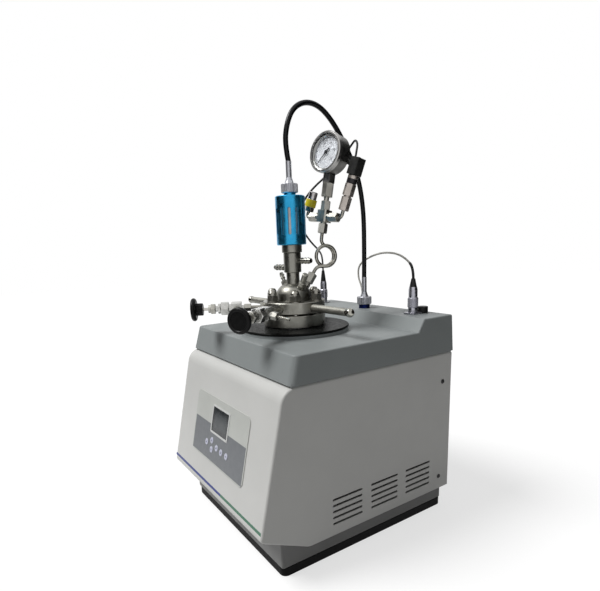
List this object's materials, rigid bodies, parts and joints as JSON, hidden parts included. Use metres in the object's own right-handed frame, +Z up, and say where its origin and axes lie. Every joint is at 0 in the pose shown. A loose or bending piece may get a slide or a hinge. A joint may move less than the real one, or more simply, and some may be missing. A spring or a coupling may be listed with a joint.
{
  "type": "hydrothermal reactor",
  "caption": "Bench-top stirred hydrothermal reactor: bolted steel vessel in a heated cabinet, magnetic drive, flexible shaft, needle valves and a pressure gauge manifold.",
  "frame": {"origin": "on the floor under the vessel's axis", "axes": "+X to the right of the control panel's viewer, +Y to the rear, +Z up the vessel's axis"},
  "size_m": [0.344, 0.3862, 0.7035],
  "materials": {
    "base_black": "matt black",
    "plinth_grey": "fine texture grey paint",
    "cabinet_white": "light grey powder coat",
    "cover_grey": "mid grey textured paint",
    "panel_film": "satin printed film",
    "display": "dark liquid crystal window",
    "screw_black": "blackened steel",
    "heater_metal": "turned",
    "insulation_wool": "pressed mineral fibre",
    "disc_black": "polished black",
    "motor_grey": "satin grey",
    "bright_steel": "ground",
    "board_green": "lacquered board",
    "fan_black": "moulded",
    "anodised_navy": "dark blue anodised",
    "vessel_steel": "turned stainless steel",
    "gasket_dark": "graphite grey",
    "nut_steel": "bright stainless",
    "bar_steel": "satin stainless",
    "bush_plastic": "turned polymer",
    "rotor_steel": "plated",
    "anodised_blue": "blue anodised",
    "knurled_aluminium": "turned and knurled",
    "sheath_black": "smooth black sheath",
    "fitting_steel": "bright stainless fitting",
    "tube_steel": "drawn stainless tube",
    "gauge_steel": "polished stainless",
    "gauge_glass": "clear",
    "dial_white": "white enamel",
    "pointer_black": "matt black",
    "relief_steel": "stainless",
    "transducer_steel": "stainless",
    "plug_black": "moulded black",
    "cable_black": "black jacket",
    "cable_grey": "light grey jacket",
    "connector_metal": "satin plated",
    "cap_black": "matt black",
    "valve_steel": "machined stainless",
    "knob_black": "moulded black"
  },
  "bodies": {
    "cabinet": {"base_tray": "base_black", "plinth": "plinth_grey", "housing": "cabinet_white", "rear_panel": "cabinet_white", "top_cover": "cover_grey", "control_panel": "panel_film", "display_window": "display", "cabinet_screws": "screw_black", "heater_block": "heater_metal", "insulation": "insulation_wool", "cover_disc": "disc_black", "motor": "motor_grey", "control_board": "board_green", "fan_frame": "fan_black", "power_inlet": "fan_black", "outlet_ring": "anodised_navy", "vessel": "vessel_steel", "gasket": "gasket_dark", "reactor_head": "vessel_steel", "head_studs": "bright_steel", "head_nuts": "nut_steel", "lift_bars": "bar_steel", "cooling_jacket": "vessel_steel", "isolation_can": "vessel_steel", "shaft_bushes": "bush_plastic", "drive_housing": "anodised_blue", "ferrule_nuts": "knurled_aluminium", "shaft_ferrules": "knurled_aluminium", "drive_sheath": "sheath_black", "gas_nipple": "fitting_steel", "thermowell": "fitting_steel", "process_tubes": "tube_steel", "cross_fitting": "fitting_steel", "fitting_nuts": "fitting_steel", "gauge_adaptor": "fitting_steel", "gauge_case": "gauge_steel", "gauge_bezel": "gauge_steel", "gauge_glass": "gauge_glass", "gauge_dial": "dial_white", "relief_valve": "relief_steel", "transducer": "transducer_steel", "transducer_plug": "plug_black", "sensor_cable": "cable_black", "signal_cable": "cable_grey", "deck_connectors": "connector_metal", "cable_boots": "plug_black", "dust_cap": "cap_black", "valve_bodies": "valve_steel"},
    "drive_input": {"motor_shaft": "bright_steel"},
    "magnet_cup": {"outer_rotor": "rotor_steel"},
    "stirrer": {"stirrer_shaft": "bright_steel", "inner_rotor": "bright_steel"},
    "cooling_fan": {"fan_rotor": "fan_black"},
    "pointer": {"gauge_pointer": "pointer_black"},
    "rocker": {"power_switch": "fan_black"},
    "stem_left": {"valve_stem_left": "bright_steel"},
    "stem_right": {"valve_stem_right": "bright_steel"},
    "handwheel_left": {"knob_left": "knob_black"},
    "handwheel_right": {"knob_right": "knob_black"}
  },
  "joints": [
    {"name": "motor_spin", "type": "hinge", "parent": "cabinet", "child": "drive_input", "pos_m": [-0.008, 0.166, 0.32], "axis": [0, 0, 1], "continuous": true},
    {"name": "magnet_spin", "type": "hinge", "parent": "cabinet", "child": "magnet_cup", "pos_m": [0, 0, 0.5], "axis": [0, 0, 1], "continuous": true},
    {"name": "stirrer_spin", "type": "hinge", "parent": "cabinet", "child": "stirrer", "pos_m": [0, 0, 0.45], "axis": [0, 0, 1], "continuous": true},
    {"name": "fan_spin", "type": "hinge", "parent": "cabinet", "child": "cooling_fan", "pos_m": [0.08, 0.19, 0.11], "axis": [0, 1, 0], "continuous": true},
    {"name": "pointer_turn", "type": "hinge", "parent": "cabinet", "child": "pointer", "pos_m": [0.01624, 0.07637, 0.61924], "axis": [-0.1988, 0.9675, -0.1563], "range_deg": [0, 270]},
    {"name": "switch_rock", "type": "hinge", "parent": "cabinet", "child": "rocker", "pos_m": [-0.095, 0.2025, 0.1045], "axis": [1, 0, 0], "range_deg": [0, 20]},
    {"name": "stem_travel_left", "type": "slide", "parent": "cabinet", "child": "stem_left", "axis": [-0.5, -0.866, 0], "range_m": [0, 0.003]},
    {"name": "valve_turn_left", "type": "hinge", "parent": "stem_left", "child": "handwheel_left", "pos_m": [-0.08, -0.13856, 0.3743], "axis": [-0.5, -0.866, 0], "range_deg": [0, 1080]},
    {"name": "stem_travel_right", "type": "slide", "parent": "cabinet", "child": "stem_right", "axis": [0.5, -0.866, 0], "range_m": [0, 0.003]},
    {"name": "valve_turn_right", "type": "hinge", "parent": "stem_right", "child": "handwheel_right", "pos_m": [0.08, -0.13856, 0.3743], "axis": [0.5, -0.866, 0], "range_deg": [0, 1080]}
  ],
  "couplings": [
    {"joint": "magnet_spin", "follows": "motor_spin", "ratio": 1},
    {"joint": "stirrer_spin", "follows": "motor_spin", "ratio": 1},
    {"joint": "valve_turn_left", "follows": "stem_travel_left", "rad_per_m": 6282.6},
    {"joint": "valve_turn_right", "follows": "stem_travel_right", "rad_per_m": 6282.6}
  ]
}
